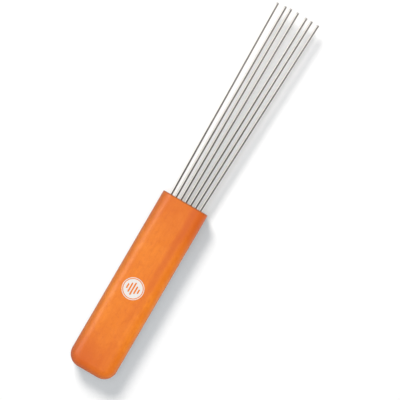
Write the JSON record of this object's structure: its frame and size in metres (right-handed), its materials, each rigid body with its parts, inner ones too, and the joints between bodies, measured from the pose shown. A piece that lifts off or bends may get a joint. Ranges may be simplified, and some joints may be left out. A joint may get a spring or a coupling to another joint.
{
  "type": "guiro scraper",
  "caption": "Hand scraper for a metal guiro: straight spring-steel tines fanned from a rounded wooden grip, each flexing by itself.",
  "frame": {"origin": "centre of the grip's flat back, the face that it lies on", "axes": "+Z out of the badge face, +Y along the grip towards the tips of the tines, +X across the grip"},
  "size_m": [0.0327, 0.2596, 0.0192],
  "materials": {
    "wood_grip": "satin lacquer over orange-stained hardwood",
    "tine_steel": "bright drawn spring wire",
    "bond_epoxy": "cured clear amber epoxy",
    "badge_print": "white printed transfer"
  },
  "bodies": {
    "grip": {"grip": "wood_grip", "badge_disc": "badge_print", "badge_ring": "badge_print", "tine_1_shank": "tine_steel", "tine_1_bond": "bond_epoxy", "tine_2_shank": "tine_steel", "tine_2_bond": "bond_epoxy", "tine_3_shank": "tine_steel", "tine_3_bond": "bond_epoxy", "tine_4_shank": "tine_steel", "tine_4_bond": "bond_epoxy", "tine_5_shank": "tine_steel", "tine_5_bond": "bond_epoxy", "tine_6_shank": "tine_steel", "tine_6_bond": "bond_epoxy", "tine_7_shank": "tine_steel", "tine_7_bond": "bond_epoxy"},
    "tine_1": {"tine_1": "tine_steel"},
    "tine_2": {"tine_2": "tine_steel"},
    "tine_3": {"tine_3": "tine_steel"},
    "tine_4": {"tine_4": "tine_steel"},
    "tine_5": {"tine_5": "tine_steel"},
    "tine_6": {"tine_6": "tine_steel"},
    "tine_7": {"tine_7": "tine_steel"}
  },
  "joints": [
    {"name": "tine_1_flex", "type": "hinge", "parent": "grip", "child": "tine_1", "pos_m": [-0.01067, 0.0608, 0.00953], "axis": [0.9998, 0.0175, 0], "range_deg": [-3.4, 10], "stiffness_Nm_per_rad": 3.3},
    {"name": "tine_2_flex", "type": "hinge", "parent": "grip", "child": "tine_2", "pos_m": [-0.00718, 0.0608, 0.00953], "axis": [1, 0.0035, 0], "range_deg": [-3.4, 10], "stiffness_Nm_per_rad": 3.3},
    {"name": "tine_3_flex", "type": "hinge", "parent": "grip", "child": "tine_3", "pos_m": [-0.00369, 0.0608, 0.00953], "axis": [1, 0.0017, 0], "range_deg": [-3.4, 10], "stiffness_Nm_per_rad": 3.3},
    {"name": "tine_4_flex", "type": "hinge", "parent": "grip", "child": "tine_4", "pos_m": [-0.0002, 0.0608, 0.00953], "axis": [1, -0.0087, 0], "range_deg": [-3.4, 10], "stiffness_Nm_per_rad": 3.3},
    {"name": "tine_5_flex", "type": "hinge", "parent": "grip", "child": "tine_5", "pos_m": [0.00329, 0.0608, 0.00953], "axis": [0.9996, -0.0279, 0], "range_deg": [-3.4, 10], "stiffness_Nm_per_rad": 3.3},
    {"name": "tine_6_flex", "type": "hinge", "parent": "grip", "child": "tine_6", "pos_m": [0.00678, 0.0608, 0.00953], "axis": [0.9995, -0.0314, 0], "range_deg": [-3.4, 10], "stiffness_Nm_per_rad": 3.3},
    {"name": "tine_7_flex", "type": "hinge", "parent": "grip", "child": "tine_7", "pos_m": [0.01027, 0.0608, 0.00953], "axis": [0.9992, -0.0401, 0], "range_deg": [-3.4, 10], "stiffness_Nm_per_rad": 3.3}
  ]
}
